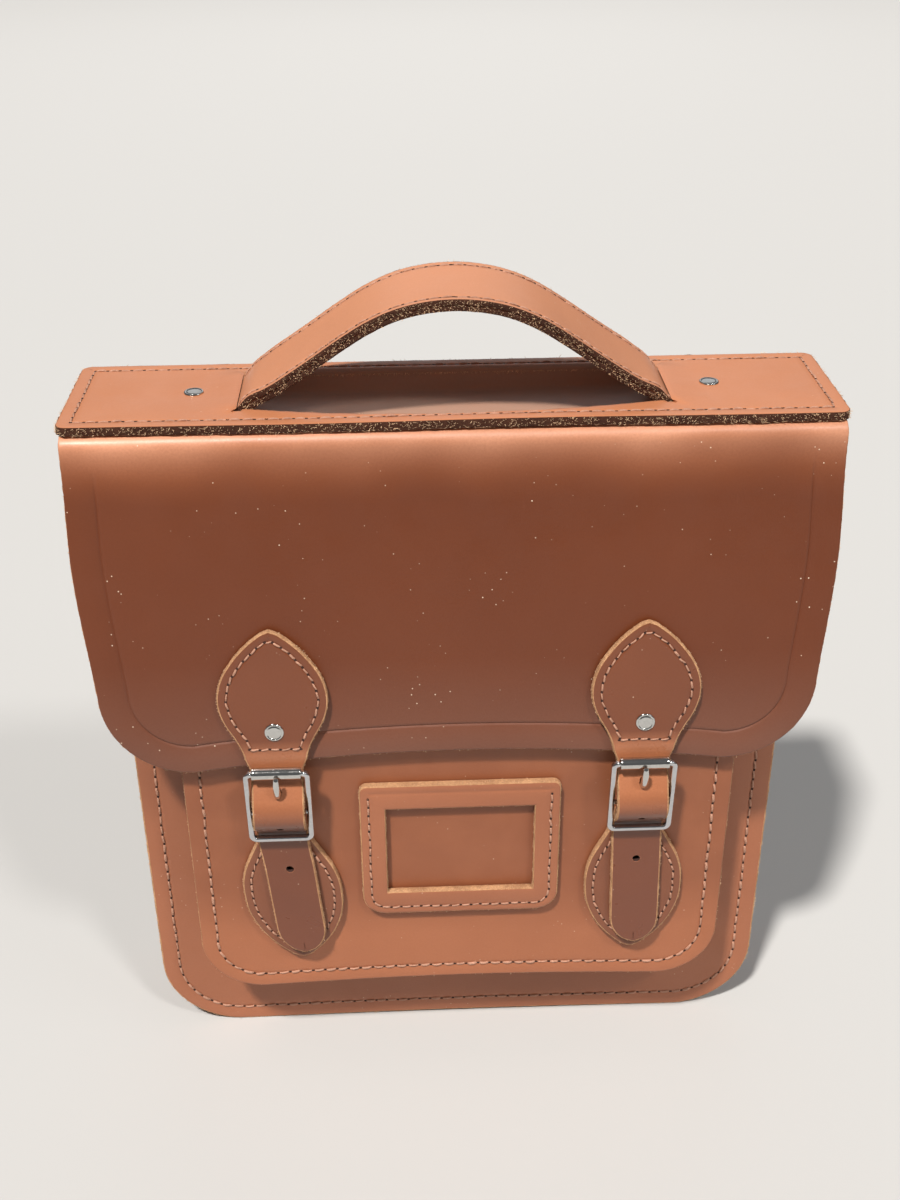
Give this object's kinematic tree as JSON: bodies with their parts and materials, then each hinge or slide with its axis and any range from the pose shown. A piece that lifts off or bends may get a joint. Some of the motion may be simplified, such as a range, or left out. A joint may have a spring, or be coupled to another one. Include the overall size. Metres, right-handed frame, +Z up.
{
  "type": "satchel bag",
  "caption": "Stiff leather satchel: box body with front pocket, label window, folding flap with buckled straps and an arched carrying handle.",
  "frame": {"origin": "centre of the bounding box in plan, on the ground the bag stands on", "axes": "+X to the bag's right-hand side seen from the front, -Y out of the front, +Z up"},
  "size_m": [0.27, 0.0916, 0.322],
  "materials": {
    "tan_leather": "smooth satin",
    "gusset_leather": "smooth satin",
    "strap_leather": "smooth satin",
    "handle_leather": "smooth satin",
    "nickel": "polished",
    "chrome": "polished"
  },
  "bodies": {
    "body": {"back_panel": "tan_leather", "front_panel": "tan_leather", "main_gusset": "gusset_leather", "pocket_front": "tan_leather", "pocket_gusset": "gusset_leather", "id_frame": "tan_leather", "chape_pad_left": "strap_leather", "chape_pad_right": "strap_leather"},
    "top": {"flap_top": "tan_leather", "top_band": "tan_leather", "band_rivet_left": "nickel", "band_rivet_right": "nickel", "handle_end_left": "tan_leather", "handle_end_right": "tan_leather"},
    "handle": {"handle_outer": "handle_leather", "handle_lining": "handle_leather"},
    "flap": {"flap_front": "tan_leather", "strap_head_left": "tan_leather", "strap_head_right": "tan_leather", "strap_rivet_left": "nickel", "strap_rivet_right": "nickel"},
    "strap_left": {"strap_tail_left": "strap_leather"},
    "buckle_left": {"buckle_frame_left": "chrome"},
    "roller_left": {"buckle_roller_left": "nickel"},
    "prong_left": {"buckle_prong_left": "nickel"},
    "strap_right": {"strap_tail_right": "strap_leather"},
    "buckle_right": {"buckle_frame_right": "chrome"},
    "roller_right": {"buckle_roller_right": "nickel"},
    "prong_right": {"buckle_prong_right": "nickel"}
  },
  "joints": [
    {"name": "top_fold", "type": "hinge", "parent": "body", "child": "top", "pos_m": [0, 0.0457, 0.27175], "axis": [-1, 0, 0], "range_deg": [0, 150]},
    {"name": "front_fold", "type": "hinge", "parent": "top", "child": "flap", "pos_m": [0, -0.0163, 0.27175], "axis": [-1, 0, 0], "range_deg": [0, 90]},
    {"name": "handle_tilt", "type": "hinge", "parent": "top", "child": "handle", "pos_m": [0, 0.0157, 0.28], "axis": [1, 0, 0], "range_deg": [-25, 25], "stiffness_Nm_per_rad": 0.12, "deforming": ["handle_end_left", "handle_end_right"]},
    {"name": "strap_left_lift", "type": "hinge", "parent": "flap", "child": "strap_left", "pos_m": [-0.067, -0.03665, 0.16035], "axis": [-1, 0, 0], "range_deg": [0, 90], "stiffness_Nm_per_rad": 0.004, "deforming": ["strap_tail_left"]},
    {"name": "buckle_left_swing", "type": "hinge", "parent": "body", "child": "buckle_left", "pos_m": [-0.067, -0.0395, 0.1365], "axis": [-1, 0, 0], "range_deg": [-4, 4]},
    {"name": "roller_left_spin", "type": "hinge", "parent": "buckle_left", "child": "roller_left", "pos_m": [-0.067, -0.0413, 0.1552], "axis": [1, 0, 0], "continuous": true},
    {"name": "prong_left_turn", "type": "hinge", "parent": "buckle_left", "child": "prong_left", "pos_m": [-0.067, -0.0395, 0.1365], "axis": [1, 0, 0], "range_deg": [0, 130]},
    {"name": "strap_right_lift", "type": "hinge", "parent": "flap", "child": "strap_right", "pos_m": [0.067, -0.03665, 0.16035], "axis": [-1, 0, 0], "range_deg": [0, 90], "stiffness_Nm_per_rad": 0.004, "deforming": ["strap_tail_right"]},
    {"name": "buckle_right_swing", "type": "hinge", "parent": "body", "child": "buckle_right", "pos_m": [0.067, -0.0395, 0.1365], "axis": [-1, 0, 0], "range_deg": [-4, 4]},
    {"name": "roller_right_spin", "type": "hinge", "parent": "buckle_right", "child": "roller_right", "pos_m": [0.067, -0.0413, 0.1552], "axis": [1, 0, 0], "continuous": true},
    {"name": "prong_right_turn", "type": "hinge", "parent": "buckle_right", "child": "prong_right", "pos_m": [0.067, -0.0395, 0.1365], "axis": [1, 0, 0], "range_deg": [0, 130]}
  ]
}
